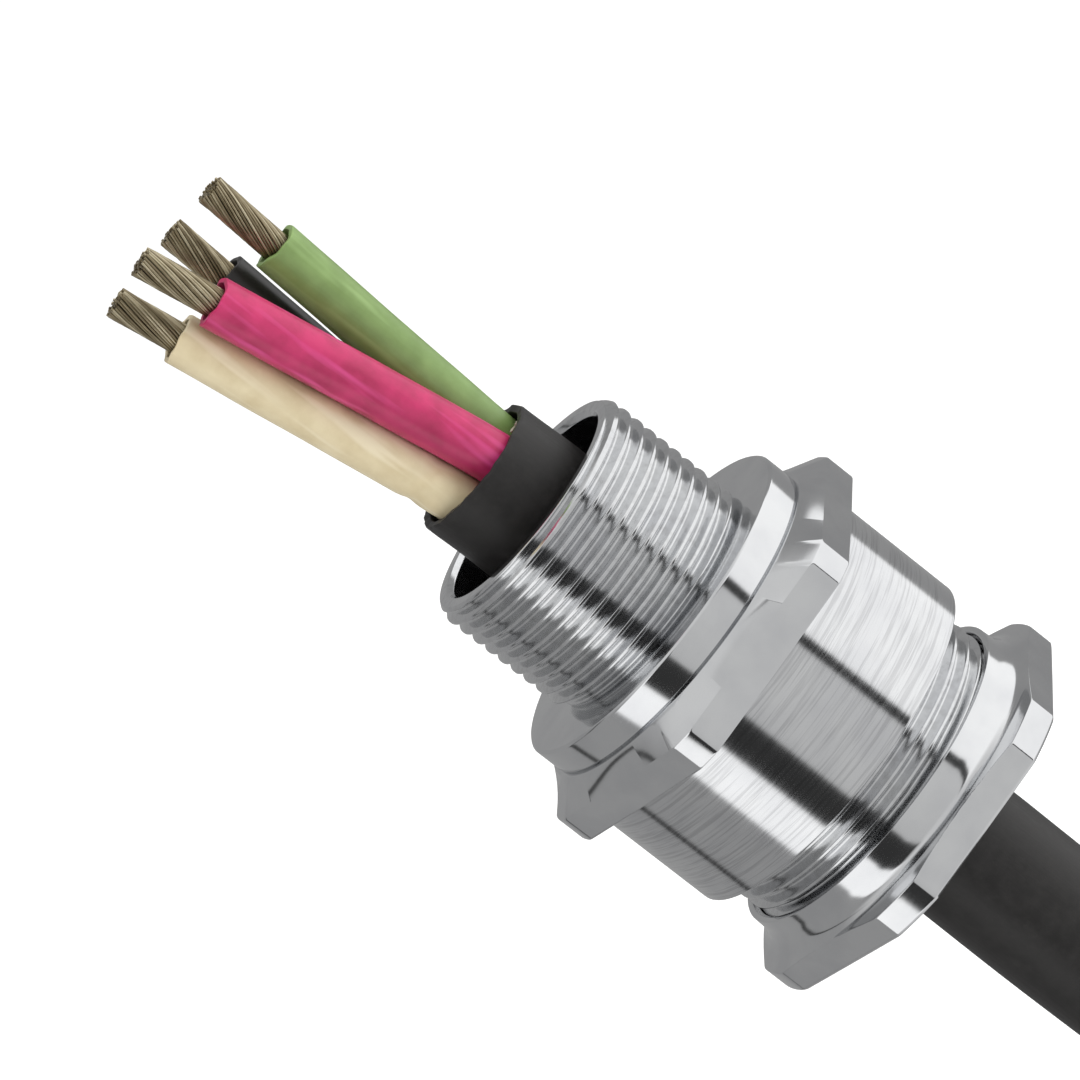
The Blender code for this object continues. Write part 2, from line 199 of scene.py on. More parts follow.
def jacketPvc():
    # black sheath PVC: dull, very dark, with faint drawing lines and dusty scuffs
    material, tree, shader = newMaterial("blackSheathPvc")
    coords = addNode(tree, "ShaderNodeTexCoord")
    scuff = addNode(
        tree, "ShaderNodeTexNoise", None, Vector=coords.outputs["Object"], Scale=1 / (1.4 * mm),
        Detail=8.0, Roughness=0.7,
    )
    tone = ramp(
        tree, scuff.outputs["Fac"],
        [(0.42, toLinear("#191716")), (0.62, toLinear("#232120")), (0.78, toLinear("#2F2D2B"))],
    )
    tree.links.new(tone, shader.inputs["Base Color"])
    gloss = ramp(tree, scuff.outputs["Fac"], [(0.3, grey(0.42)), (0.75, grey(0.62))])
    tree.links.new(gloss, shader.inputs["Roughness"])
    drawn = addNode(tree, "ShaderNodeMapping", None, Vector=coords.outputs["Object"])
    drawn.inputs["Scale"].default_value = (1 / (0.5 * mm), 1 / (0.5 * mm), 1 / (9 * mm))
    lines = addNode(tree, "ShaderNodeTexNoise", None, Vector=drawn.outputs[0], Scale=1.0, Detail=4.0)
    grain = addNode(
        tree, "ShaderNodeTexNoise", None, Vector=coords.outputs["Object"], Scale=1 / (0.12 * mm),
        Detail=2.0,
    )
    height = addNode(
        tree, "ShaderNodeMath", {"operation": "MULTIPLY_ADD"}, i0=grain.outputs["Fac"], i1=0.35,
        i2=lines.outputs["Fac"],
    )
    bump = addNode(
        tree, "ShaderNodeBump", None, Strength=0.35, Distance=0.00006, Height=height.outputs[0],
    )
    tree.links.new(bump.outputs["Normal"], shader.inputs["Normal"])
    return material


def strandedCopper():
    # fine copper strands, dulled by air: brown, with the lightest strands in a painted highlight straw
    # tone, one strand lighter than the next
    material, tree, shader = newMaterial("dulledCopperStrand", Metallic=1.0)
    coords = addNode(tree, "ShaderNodeTexCoord")
    tone = addNode(
        tree, "ShaderNodeAttribute", {"attribute_name": "strandTone", "attribute_type": "GEOMETRY"},
    )
    stain = addNode(
        tree, "ShaderNodeTexNoise", None, Vector=coords.outputs["Object"], Scale=1 / (1.1 * mm),
        Detail=4.0,
    )
    mixed = addNode(
        tree, "ShaderNodeMath", {"operation": "MULTIPLY_ADD"}, i0=stain.outputs["Fac"], i1=0.5,
        i2=tone.outputs["Fac"],
    )
    # random tone per strand and stains; the lightest stop is a painted highlight
    colour = ramp(
        tree, mixed.outputs[0],
        [(0.25, toLinear("#7C7058")), (0.6, toLinear("#A3967A")), (1.0, toLinear("#D8CDB0"))],
    )
    tree.links.new(colour, shader.inputs["Base Color"])
    shader.inputs["Roughness"].default_value = 0.34
    return material


def mouldedRubber():
    # moulded neoprene: dead matte black with a grey bloom
    material, tree, shader = newMaterial("mouldedNeoprene", Roughness=0.75)
    coords = addNode(tree, "ShaderNodeTexCoord")
    bloom = addNode(
        tree, "ShaderNodeTexNoise", None, Vector=coords.outputs["Object"], Scale=1 / (1.8 * mm),
        Detail=6.0,
    )
    tree.links.new(
        ramp(tree, bloom.outputs["Fac"], [(0.35, toLinear("#1B1B1C")), (0.75, toLinear("#333334"))]),
        shader.inputs["Base Color"],
    )
    bump = addNode(
        tree, "ShaderNodeBump", None, Strength=0.3, Distance=0.00004, Height=bloom.outputs["Fac"],
    )
    tree.links.new(bump.outputs["Normal"], shader.inputs["Normal"])
    return material


def mouldedNylon():
    # natural nylon: milky off-white, satin, slightly cloudy
    material, tree, shader = newMaterial("mouldedNylon", Roughness=0.42)
    coords = addNode(tree, "ShaderNodeTexCoord")
    cloud = addNode(
        tree, "ShaderNodeTexNoise", None, Vector=coords.outputs["Object"], Scale=1 / (2.2 * mm),
        Detail=3.0,
    )
    tree.links.new(
        ramp(tree, cloud.outputs["Fac"], [(0.3, toLinear("#CFCBC0")), (0.7, toLinear("#E4E1D8"))]),
        shader.inputs["Base Color"],
    )
    return material


def fillerYarn():
    # fibrillated polypropylene yarn: pale, dull, all fibre
    material, tree, shader = newMaterial("polypropyleneYarn", Roughness=0.85)
    coords = addNode(tree, "ShaderNodeTexCoord")
    fibre = addNode(tree, "ShaderNodeMapping", None, Vector=coords.outputs["Object"])
    fibre.inputs["Scale"].default_value = (1 / (0.1 * mm), 1 / (0.1 * mm), 1 / (2 * mm))
    hair = addNode(tree, "ShaderNodeTexNoise", None, Vector=fibre.outputs[0], Scale=1.0, Detail=4.0)
    tree.links.new(
        ramp(tree, hair.outputs["Fac"], [(0.3, toLinear("#8F897B")), (0.7, toLinear("#D2CCBC"))]),
        shader.inputs["Base Color"],
    )
    bump = addNode(
        tree, "ShaderNodeBump", None, Strength=0.6, Distance=0.00008, Height=hair.outputs["Fac"],
    )
    tree.links.new(bump.outputs["Normal"], shader.inputs["Normal"])
    return material


polishedNickel = platedBrass("polishedNickelPlate", 0.10, 0.08, 3.0)
brushedNickel = platedBrass("turnedNickelPlate", 0.11, 0.4, 1.6, lines=0.28)
threadNickel = platedBrass("threadNickelPlate", 0.13, 0.12, 4.0, tint="#D6D7D8", grime=0.15)
plainBrass = platedBrass("turnedBrass", 0.3, 0.4, 6.0, tint="#D8B878")
sheathPvc = jacketPvc()
copperStrand = strandedCopper()
neoprene = mouldedRubber()
nylon = mouldedNylon()
yarn = fillerYarn()
# each core's colours: lit tone and shaded tone (painted light and shade), roughness, then a painted
# highlight streak tone
corePvc = {
    "red": extrudedPvc("magentaRedPvc", "#BC2A61", "#9C1E4B", 0.36, "#D04787"),
    "cream": extrudedPvc("creamPvc", "#DACCA9", "#CAB993", 0.34, "#E3D8BB"),
    "green": extrudedPvc("softGreenPvc", "#7C9759", "#6C854A", 0.36, "#8AA568"),
    "black": extrudedPvc("blackCorePvc", "#282625", "#201E1D", 0.34, "#302E2C"),
}
print("materials made:", len(bpy.data.materials))


# mesh building

def meshPiece(name, points, faces, materials, body, sharpDegrees=None, faceMaterial=None):
    mesh = bpy.data.meshes.new(name)
    mesh.from_pydata([tuple(p) for p in points], [], [tuple(f) for f in faces])
    for material in materials:
        mesh.materials.append(material)
    mesh.shade_smooth()
    if faceMaterial is not None:
        mesh.polygons.foreach_set("material_index", faceMaterial)
    if sharpDegrees:
        mesh.set_sharp_from_angle(angle=math.radians(sharpDegrees))
    mesh.update()
    piece = bpy.data.objects.new(name, mesh)
    bpy.context.scene.collection.objects.link(piece)
    if body:
        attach(piece, body)
    return piece


def softened(outline, fillet, steps=4):
    # rounds each corner of a closed outline; a third value in a point is its own fillet
    rounded = []
    count = len(outline)
    for index, point in enumerate(outline):
        own = point[2] if len(point) > 2 else fillet
        here = np.array(point[:2])
        before = np.array(outline[index - 1][:2]) - here
        after = np.array(outline[(index + 1) % count][:2]) - here
        lengthBefore, lengthAfter = np.linalg.norm(before), np.linalg.norm(after)
        cut = min(own, 0.45 * lengthBefore, 0.45 * lengthAfter)
        turn = np.dot(before, after) / (lengthBefore * lengthAfter)
        if cut <= 0 or turn < -0.9995:
            rounded.append(tuple(here))
            continue
        start, end = here + before / lengthBefore * cut, here + after / lengthAfter * cut
        for step in range(steps + 1):
            t = step / steps
            rounded.append(tuple((1 - t) ** 2 * start + 2 * t * (1 - t) * here + t * t * end))
    return rounded


def filledIn(outline, top, bottom, least, step):
    # adds points to the sides that lie past a least radius and between two heights, for reshaping
    dense = []
    for index, here in enumerate(outline):
        there = outline[(index + 1) % len(outline)]
        dense.append(here)
        outside = (
            min(here[0], there[0]) > least
            and max(here[1], there[1]) <= top + 1e-9
            and min(here[1], there[1]) >= bottom - 1e-9
        )
        run = math.hypot(here[0] - there[0], here[1] - there[1])
        if outside and run > step:
            count = int(run / step)
            for k in range(1, count):
                t = k / count
                dense.append((here[0] + (there[0] - here[0]) * t, here[1] + (there[1] - here[1]) * t))
    return dense


def turnedGrid(
    name, outline, columns, materials, body, reshape=None, along=None, sharpDegrees=None,
    pickMaterial=None,
):
    # a closed outline of (radius, height), outer side first from the top, carried round the axis
    outline = np.array(outline)
    rows = len(outline)
    angles = np.arange(columns) * 2 * math.pi / columns
    radius = np.tile(outline[:, 0], (columns, 1))
    height = np.tile(outline[:, 1], (columns, 1))
    angle = np.tile(angles[:, None], (1, rows))
    if reshape:
        radius, height = reshape(radius, height, angle)
    if along:
        points = along(radius, height, angle)
    else:
        points = np.stack([radius * np.cos(angle), radius * np.sin(angle), height], axis=-1)
    index = np.arange(columns * rows).reshape(columns, rows)
    right = np.roll(index, -1, axis=0)
    down = np.roll(index, -1, axis=1)
    corner = np.roll(right, -1, axis=1)
    faces = np.stack([index, down, corner, right], axis=-1).reshape(-1, 4)
    faceMaterial = None
    if pickMaterial:
        middle = (outline + np.roll(outline, -1, axis=0)) / 2
        faceMaterial = np.tile([pickMaterial(r, h) for r, h in middle], columns)
    return meshPiece(name, points.reshape(-1, 3), faces, materials, body, sharpDegrees, faceMaterial)


def softMin(a, b, blend):
    return -blend * np.logaddexp(-a / blend, -b / blend)


def hexRadius(angle, acrossFlats):
    # distance from the axis to the nearest of six flats, with corners towards +X and -X
    turn = np.mod(angle - math.pi / 6 + math.pi / 6, math.pi / 3) - math.pi / 6
    return acrossFlats / 2 / np.cos(turn)


def threadDepthAt(height, angle, pitch, depth, crest=0.16, root=0.14):
    phase = np.mod(height / pitch - angle / (2 * math.pi), 1.0)
    ramped = np.clip((np.abs(phase - 0.5) * 2 - crest) / (1 - crest - root), 0, 1)
    eased = 0.75 * ramped + 0.25 * ramped * ramped * (3 - 2 * ramped)
    return depth * eased


# the gland's places, read from the frame

bodyLow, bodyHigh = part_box("gland_body")
nutLow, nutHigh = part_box("back_nut")
jacketLow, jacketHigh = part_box("cable_jacket")
tailLow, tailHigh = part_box("cable_tail")
frontRim, bodyBack = bodyHigh[2], bodyLow[2]
nutFront, nutBack = nutHigh[2], nutLow[2]
jacketEnd, cableBack = jacketHigh[2], jacketLow[2]
jacketRadius = jacketHigh[0]

glandBody = {
    "pitch": 1.5 * mm,
    "threadDepth": 0.92 * mm,
    "entryRadius": 12.5 * mm,
    "entryBore": 10.3 * mm,
    "boreStep": frontRim - 11.5 * mm,
    "seatRadius": 16.75 * mm,
    "collarRadius": 17.0 * mm,
    "collarBack": -3.2 * mm,
    "hexBack": -8.45 * mm,
    "acrossFlats": bodyHigh[1] - bodyLow[1],
    "cornerRadius": bodyHigh[0],
    "hexChamfer": 2.1 * mm,
    "barrelRadius": 18.05 * mm,
    "barrelBack": -21.4 * mm,
    "rearRadius": 15.9 * mm,
    "chamberRadius": 12.68 * mm,
    "passage": jacketRadius + 0.6 * mm,
    "hexColumns": 480,
    "threadColumns": 288,
    "rowStep": 0.08 * mm,
}


def makeEntryThread():
    g = glandBody
    outside, inside = g["entryRadius"], g["entryBore"]
    outline = [
        (outside - 0.75 * mm, frontRim), (outside - 0.25 * mm, frontRim - 0.6 * mm),
        (outside, frontRim - 1.1 * mm), (outside, 0.5 * mm),
        (outside, -0.6 * mm), (inside + 0.3 * mm, -0.6 * mm),
        (inside + 0.3 * mm, g["boreStep"] - 0.3 * mm),
        (inside, g["boreStep"]), (inside, frontRim - 0.5 * mm), (inside + 0.4 * mm, frontRim),
    ]
    outline = filledIn(softened(outline, 0.1 * mm), frontRim, -0.6 * mm, inside + 0.6 * mm, g["rowStep"])

    def cutThread(radius, height, angle):
        depth = threadDepthAt(height, angle, g["pitch"], g["threadDepth"])
        floor = outside - depth
        # the thread runs out into the collar over half a turn
        fade = np.clip((height - 0.1 * mm) / (0.5 * mm), 0, 1)
        floor = outside - g["threadDepth"] + (floor - outside + g["threadDepth"]) * fade
        onThread = (radius > inside + 0.7 * mm) & (height < frontRim - 0.02 * mm)
        return np.where(onThread, np.minimum(radius, floor), radius), height

    return turnedGrid("entryThread", outline, g["threadColumns"], [threadNickel], "gland_body", cutThread)


def makeHexBody():
    g = glandBody
    corner, flat = g["cornerRadius"], g["acrossFlats"]
    back, barrel, inner = g["hexBack"], g["barrelRadius"], g["entryBore"] + 0.2 * mm
    outline = [
        (g["seatRadius"], 0.0, 0.1 * mm),
        (g["collarRadius"], -0.25 * mm, 0.1 * mm),
        (g["collarRadius"], g["collarBack"] + 0.2 * mm, 0.06 * mm),
        (g["collarRadius"] - 0.3 * mm, g["collarBack"], 0.04 * mm),
        (17.34 * mm, g["collarBack"], 0.08 * mm),
        (corner, g["collarBack"] - g["hexChamfer"], 0.2 * mm),
        (corner, back, 0.22 * mm),
        (barrel, back, 0.08 * mm),
        (barrel, g["barrelBack"], 0.16 * mm),
        (g["rearRadius"] - 1.2 * mm, g["barrelBack"], 0.05 * mm),
        (inner + 3 * mm, g["barrelBack"], 0.0),
        (inner + 3 * mm, -1.6 * mm, 0.0),
        (g["passage"], -0.6 * mm, 0.1 * mm),
        (g["passage"], g["boreStep"] - 0.5 * mm, 0.3 * mm),
        (inner, g["boreStep"] - 0.5 * mm, 0.1 * mm),
        (inner, 0.0, 0.0),
    ]
    outline = filledIn(
        softened(outline, 0.1 * mm), g["collarBack"], back + 0.3 * mm, barrel + 0.3 * mm, 0.11 * mm,
    )
    facePoints = barrel + 0.1 * mm

    def cutFlats(radius, height, angle):
        side = softMin(np.full_like(radius, corner), hexRadius(angle, flat), 0.035 * mm)
        onSide = (radius > facePoints) & (height > back + 0.3 * mm) & (
            height < g["collarBack"] - 0.001 * mm
        )
        onBack = (radius > facePoints) & (height <= back + 0.3 * mm) & (height >= back - 0.01 * mm)
        cut = softMin(radius, hexRadius(angle, flat), 0.035 * mm)
        drawn = barrel + (radius - barrel) * (side - barrel) / (corner - barrel)
        return np.where(onSide, cut, np.where(onBack, drawn, radius)), height

    def pick(radius, height):
        return 1 if height < back - 0.05 * mm and radius > barrel - 0.05 * mm else 0

    return turnedGrid(
        "hexBody", outline, g["hexColumns"], [polishedNickel, brushedNickel], "gland_body",
        cutFlats, sharpDegrees=40, pickMaterial=pick,
    )


def makeRearThread():
    g = glandBody
    outside, inside = g["rearRadius"], g["chamberRadius"]
    top = g["barrelBack"] + 0.5 * mm
    outline = [
        (outside - 0.2 * mm, top), (outside, g["barrelBack"] - 0.1 * mm), (outside, bodyBack + 0.9 * mm),
        (outside - 0.9 * mm, bodyBack), (inside + 0.3 * mm, bodyBack), (inside, bodyBack + 0.3 * mm),
        (inside, -8.0 * mm), (inside + 0.3 * mm, top),
    ]
    outline = filledIn(softened(outline, 0.08 * mm), top, bodyBack, inside + 0.6 * mm, g["rowStep"])

    def cutThread(radius, height, angle):
        depth = threadDepthAt(height, angle, g["pitch"], g["threadDepth"])
        floor = outside - depth
        onThread = radius > inside + 0.7 * mm
        return np.where(onThread, np.minimum(radius, floor), radius), height

    return turnedGrid("rearThread", outline, g["threadColumns"], [threadNickel], "gland_body", cutThread)


hexBody = makeHexBody()
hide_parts("gland_body")
entryThread = makeEntryThread()
rearThread = makeRearThread()
print("gland body made")

backNut = {
    "acrossFlats": nutHigh[1] - nutLow[1],
    "cornerRadius": nutHigh[0],
    "bore": 16.0 * mm,
    "neck": 16.9 * mm,
    "face": 3.0 * mm,
    "hole": jacketRadius + 0.6 * mm,
    "wall": 1.2 * mm,
    "columns": 480,
}


def makeNut():
    n = backNut
    corner, flat, hole = n["cornerRadius"], n["acrossFlats"], n["hole"]
    wallFace = nutBack + n["wall"]
    spigot = glandBody["chamberRadius"] - 0.6 * mm
    neck, face = n["neck"], nutBack + n["face"]
    outline = [
        (neck, nutFront, 0.12 * mm),
        (neck + 0.1 * mm, face + 1.9 * mm, 0.5 * mm),
        (neck + 0.6 * mm, face + 0.9 * mm, 0.4 * mm),
        (neck + 1.4 * mm, face + 0.35 * mm, 0.3 * mm),
        (corner, face - 0.1 * mm, 0.12 * mm),
        (corner, nutBack + 0.35 * mm, 0.1 * mm),
        (corner - 0.35 * mm, nutBack, 0.1 * mm),
        (hole + 0.6 * mm, nutBack, 0.2 * mm),
        (hole, nutBack + 0.6 * mm, 0.2 * mm),
        (hole, wallFace + 2.6 * mm, 0.2 * mm),
        (spigot, wallFace + 2.6 * mm, 0.2 * mm),
        (spigot, wallFace, 0.1 * mm),
        (n["bore"], wallFace, 0.1 * mm),
        (n["bore"], nutFront - 0.4 * mm, 0.1 * mm),
        (n["bore"] + 0.3 * mm, nutFront, 0.1 * mm),
    ]
    outline = filledIn(
        softened(outline, 0.1 * mm), nutFront, nutBack + 0.4 * mm, n["bore"] + 0.4 * mm, 0.09 * mm,
    )

    def cutFlats(radius, height, angle):
        side = softMin(np.full_like(radius, corner), hexRadius(angle, flat), 0.03 * mm)
        onSide = (
            radius > n["bore"] + 0.4 * mm
        ) & (height > nutBack + 0.4 * mm) & (height < nutFront - 0.15 * mm)
        onBack = (radius > hole + 0.9 * mm) & (height <= nutBack + 0.4 * mm)
        cut = softMin(radius, hexRadius(angle, flat), 0.03 * mm)
        start = hole + 0.9 * mm
        drawn = start + (radius - start) * (side - start) / (corner - start)
        return np.where(onSide, cut, np.where(onBack, drawn, radius)), height

    return turnedGrid(
        "backNut", outline, n["columns"], [polishedNickel], "back_nut", cutFlats, sharpDegrees=40,
    )


nutPiece = makeNut()
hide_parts("back_nut")
print("back nut made")

# the cable: jacket in the gland, then the free tail

jacket = {
    "bore": jacketRadius - 0.79 * mm,
    "columns": 160,
    "lipWobble": 0.45 * mm,
    # rolled flaps at the cut: angle, half width in radians, how far they stand out
    "flaps": [(math.radians(95.0), 0.35, 0.16 * mm), (math.radians(-150.0), 0.3, 0.14 * mm)],
}


def makeJacket():
    lip = jacketEnd
    bore, outside = jacket["bore"], jacketRadius
    outline = [
        (outside - 0.12 * mm, lip, 0.0), (outside, lip - 0.25 * mm, 0.1 * mm),
        (outside, lip - 9 * mm, 0.0), (outside, cableBack, 0.1 * mm),
        (bore, cableBack, 0.1 * mm), (bore, lip - 1.2 * mm, 0.2 * mm),
        (bore - 0.05 * mm, lip - 0.12 * mm, 0.1 * mm),
    ]
    outline = filledIn(softened(outline, 0.1 * mm), lip, lip - 9 * mm, bore + 0.3 * mm, 0.25 * mm)

    def ragged(radius, height, angle):
        wave = np.array([
            noise.noise(
                Vector((math.cos(a) * 2.2, math.sin(a) * 2.2, 3.1))
            ) + 0.45 * noise.noise(Vector((math.cos(a) * 9, math.sin(a) * 9, 1.7)))
            for a in angle[:, 0]
        ])
        near = np.clip((height - lip + 1.6 * mm) / (1.6 * mm), 0, 1)
        for flapAt, flapWide, flapLift in jacket["flaps"]:
            off = np.abs(np.mod(angle - flapAt + math.pi, 2 * math.pi) - math.pi) / flapWide
            lift = np.clip(1 - off, 0, 1) * near
            radius = radius + flapLift * lift * (radius > bore + 0.3 * mm)
        swell = 1 + 0.012 * np.sin(height / (2.3 * mm) + 2 * np.cos(angle)) * (height > lip - 8 * mm)
        return radius * swell + 0.10 * mm * near * wave[:, None], height - jacket["lipWobble"] * near * (
            0.5 - 0.5 * wave[:, None]
        )

    return turnedGrid(
        "cableJacket", outline, jacket["columns"], [sheathPvc], "gland_body", ragged, sharpDegrees=50,
    )


jacketPiece = makeJacket()
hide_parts("cable_jacket")
print("jacket made")


# routes: a smooth line with its own cross axes at every distance along it

class Route:
    def __init__(self, points, samples=240):
        points = [Vector(p) for p in points]
        curve = []
        for i in range(len(points) - 1):
            p0 = points[i - 1] if i else points[0] * 2 - points[1]
            p1, p2 = points[i], points[i + 1]
            p3 = points[i + 2] if i + 2 < len(points) else p2 * 2 - p1
            steps = max(2, samples // len(points))
            for k in range(steps):
                t = k / steps
                curve.append(
                    0.5 * (
                        2 * p1 + (p2 - p0) * t + (
                            2 * p0 - 5 * p1 + 4 * p2 - p3
                        ) * t * t + (3 * p1 - p0 - 3 * p2 + p3) * t ** 3
                    )
                )
        curve.append(points[-1])
        self.line = np.array([tuple(p) for p in curve])
        steps = np.linalg.norm(np.diff(self.line, axis=0), axis=1)
        self.at = np.concatenate([[0], np.cumsum(steps)])
        self.length = self.at[-1]
        ahead = np.gradient(self.line, axis=0)
        ahead /= np.linalg.norm(ahead, axis=1)[:, None]
        side = np.cross(ahead, [0, 1, 0])
        side /= np.linalg.norm(side, axis=1)[:, None]
        self.ahead, self.side, self.other = ahead, side, np.cross(ahead, side)

    def place(self, distance, across, up):
        # the point at a distance along the line, moved across and up from it
        def read(table):
            return np.stack([np.interp(distance, self.at, table[:, k]) for k in range(3)], axis=-1)
        past = distance - np.clip(distance, 0, self.length)
        return (
            read(self.line) + across[..., None] * read(self.side)
            + up[..., None] * read(self.other) + past[..., None] * read(self.ahead)
        )


bundle = {
    "coreRadius": 2.45 * mm, "coreWall": 0.7 * mm, "coreGap": 0.2 * mm,
    "conductorRadius": 1.45 * mm, "strandRadius": 0.134 * mm, "strandLay": 26 * mm,
    "straight": 2.0 * mm, "bend": 0.06, "points": 13,
}
bundle["radius"] = (bundle["coreRadius"] + bundle["coreGap"] / 2) * math.sqrt(2)

cores = {
    "red": {"from": -70.0, "to": -129.3, "spread": 5.39 * mm, "length": 28.4 * mm, "bare": 7.7 * mm},
    "cream": {"from": -160.0, "to": -175.6, "spread": 7.47 * mm, "length": 28.5 * mm, "bare": 6.6 * mm},
    "green": {"from": 20.0, "to": -1.7, "spread": 4.53 * mm, "length": 26.3 * mm, "bare": 8.1 * mm},
    "black": {"from": 110.0, "to": 88.3, "spread": 4.53 * mm, "length": 27.7 * mm, "bare": 6.4 * mm},
}


def onCircle(radius, degrees, height):
    angle = math.radians(degrees)
    return (radius * math.cos(angle), radius * math.sin(angle), height)


def coreRoute(core):
    route = [onCircle(bundle["radius"], core["from"], cableBack)]
    start = Vector(onCircle(bundle["radius"], core["from"], jacketEnd - bundle["straight"]))
    end = Vector(onCircle(core["spread"], core["to"], jacketEnd + core["length"]))
    bend = bundle["bend"]
    for index in range(bundle["points"]):
        share = index / (bundle["points"] - 1)
        sideways = share - bend * (1 - math.exp(-share / bend))
        sideways /= 1 - bend * (1 - math.exp(-1 / bend))
        place = start.lerp(end, sideways)
        route.append((place.x, place.y, start.z + (end.z - start.z) * share))
    first, second = Vector(route[0]), Vector(route[1])
    between = [tuple(first.lerp(second, t)) for t in (0.25, 0.5, 0.75)]
    return Route([route[0], *between, *route[1:]])


def makeInsulation(colour, core, route):
    end = route.length
    outside, inside = bundle["coreRadius"], bundle["coreRadius"] - bundle["coreWall"] + 0.12 * mm
    outline = [
        (outside - 0.06 * mm, end, 0.03 * mm), (outside, end - 0.12 * mm, 0.08 * mm),
        (outside, 0.0, 0.1 * mm),
        (inside, 0.0, 0.1 * mm), (inside, end - 0.6 * mm, 0.1 * mm), (inside + 0.06 * mm, end, 0.05 * mm),
    ]
    # both walls need rows all the way, since both follow the core's bend
    outline = filledIn(softened(outline, 0.05 * mm), end, -mm, 0.0, 0.5 * mm)
    seed = sum(ord(c) for c in colour)
    free = end - core["length"]

    def drawn(radius, height, angle):
        wobble = np.zeros_like(radius)
        for c in range(radius.shape[0]):
            a = angle[c, 0]
            for r in range(radius.shape[1]):
                h = height[c, r] / mm
                wobble[c, r] = noise.noise(
                    Vector((math.cos(a) * 0.8 + seed, math.sin(a) * 0.8, h * 0.16))
                )
        shaped = radius * (1 + 0.018 * wobble * (radius > inside + 0.2 * mm))
        if colour == "cream":  # pinched and creased where the stripping tool held it
            crease = np.exp(-((height - free - 3.0 * mm) / (1.5 * mm)) ** 2)
            shaped = shaped - 0.22 * mm * crease * (
                0.6 + 0.4 * np.sin(3 * angle + height / (0.5 * mm))
            ) * (radius > inside + 0.2 * mm)
        cut = np.clip((height - end + 0.5 * mm) / (0.5 * mm), 0, 1)
        lip = cut * 0.13 * mm * np.sin(2 * angle + seed) + cut * 0.05 * mm * np.sin(7 * angle + 2 * seed)
        return shaped, height + lip

    def along(radius, height, angle):
        return route.place(height, radius * np.cos(angle), radius * np.sin(angle))

    piece = turnedGrid(
        f"insulation_{colour}", outline, 56, [corePvc[colour]], "gland_body", drawn, along,
        sharpDegrees=50,
    )
    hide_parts(f"core_insulation_{colour}")


def tubeMesh(lines, radii, sides, seedTone):
    # round closed strands along given lines, all in one mesh, each with its own tone
    points, faces, tones = [], [], []
    ring = np.arange(sides) * 2 * math.pi / sides
    for line, radius, tone in zip(lines, radii, seedTone):
        line = np.array(line)
        ahead = np.gradient(line, axis=0)
        ahead /= np.linalg.norm(ahead, axis=1)[:, None]
        side = np.cross(ahead, [0.13, 0.99, 0.02])
        side /= np.linalg.norm(side, axis=1)[:, None]
        up = np.cross(ahead, side)
        base = len(points)
        for k, centre in enumerate(line):
            for a in ring:
                points.append(centre + radius * (math.cos(a) * side[k] + math.sin(a) * up[k]))
                tones.append(tone)
        count = len(line)
        for k in range(count - 1):
            for s in range(sides):
                t = (s + 1) % sides
                a, b = base + k * sides + s, base + k * sides + t
                faces.append((a, b, b + sides, a + sides))
        faces.append(tuple(base + s for s in reversed(range(sides))))
        faces.append(tuple(base + (count - 1) * sides + s for s in range(sides)))
    return points, faces, tones


def makeConductor(colour, core, route):
    rng = random.Random(len(colour) * 17 + ord(colour[0]))
    start = route.length - 1.5 * mm
    tip = route.length + core["bare"]
    strand = bundle["strandRadius"]
    lines, radii, tones = [], [], []
    for layer in range(6):
        count = 6 * layer if layer else 1
        for index in range(count):
            turn = 2 * math.pi * (index + 0.5 * (layer % 2)) / count + rng.uniform(-0.03, 0.03)
            out = layer * 2 * strand * 0.985
            last = tip - rng.uniform(0, 0.28 * mm) - 0.12 * mm * (layer / 5) ** 2
            loose = rng.uniform(-1, 1) * 0.06 * mm if layer > 3 else 0.0
            line = []
            for k in range(15):
                t = k / 14
                d = start + (last - start) * t
                angle = turn + 2 * math.pi * (d - start) / bundle["strandLay"]
                spread = out + max(0.0, t - 0.55) * loose * 2
                line.append(
                    route.place(
                        np.array(d), np.array(spread * math.cos(angle)),
                        np.array(spread * math.sin(angle)),
                    )
                )
            lines.append(line)
            radii.append(strand * rng.uniform(0.94, 1.02))
            # each strand's random tone; its light end reaches the painted highlight colour
            tones.append(rng.uniform(0.05, 0.75))
    points, faces, toneList = tubeMesh(lines, radii, 8, tones)
    piece = meshPiece(f"strands_{colour}", points, faces, [copperStrand], "gland_body", sharpDegrees=60)
    attribute = piece.data.attributes.new("strandTone", "FLOAT", "POINT")
    attribute.data.foreach_set("value", toneList)
    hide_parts(f"conductor_{colour}")


for colour, core in cores.items():
    route = coreRoute(core)
    makeInsulation(colour, core, route)
    makeConductor(colour, core, route)
print("cores and strands made")


def makeFillers():
    # twisted yarn ends in the cable's middle and in the valleys between the cores
    rng = random.Random(5)
    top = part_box("centre_filler")[1][2]
    places = {"centre_filler": (0.0, 0.0, 0.85 * mm)}
    for index in range(4):
        node = f"valley_filler_{index + 1}"
        low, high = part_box(node)
        places[node] = ((low[0] + high[0]) / 2, (low[1] + high[1]) / 2, 0.7 * mm)
    for node, (x, y, radius) in places.items():
        lines, radii, tones = [], [], []
        for index in range(7):
            out = 0.0 if index == 0 else radius * 0.64
            turn = index * math.pi / 3
            last = top - rng.uniform(0, 0.4 * mm)
            line = []
            for k in range(40):
                h = cableBack + (last - cableBack) * k / 39
                angle = turn + h / (2.2 * mm)
                line.append((x + out * math.cos(angle), y + out * math.sin(angle), h))
            lines.append(line)
            radii.append(radius * 0.34)
            tones.append(0.5)
        points, faces, _ = tubeMesh(lines, radii, 7, tones)
        piece = meshPiece(f"yarn_{node}", points, faces, [yarn], "gland_body", sharpDegrees=60)
        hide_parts(node)


makeFillers()
print("fillers made")

seal = {"ribs": 5, "ribDepth": 0.28 * mm, "inner": jacketRadius + 0.3 * mm, "columns": 96}


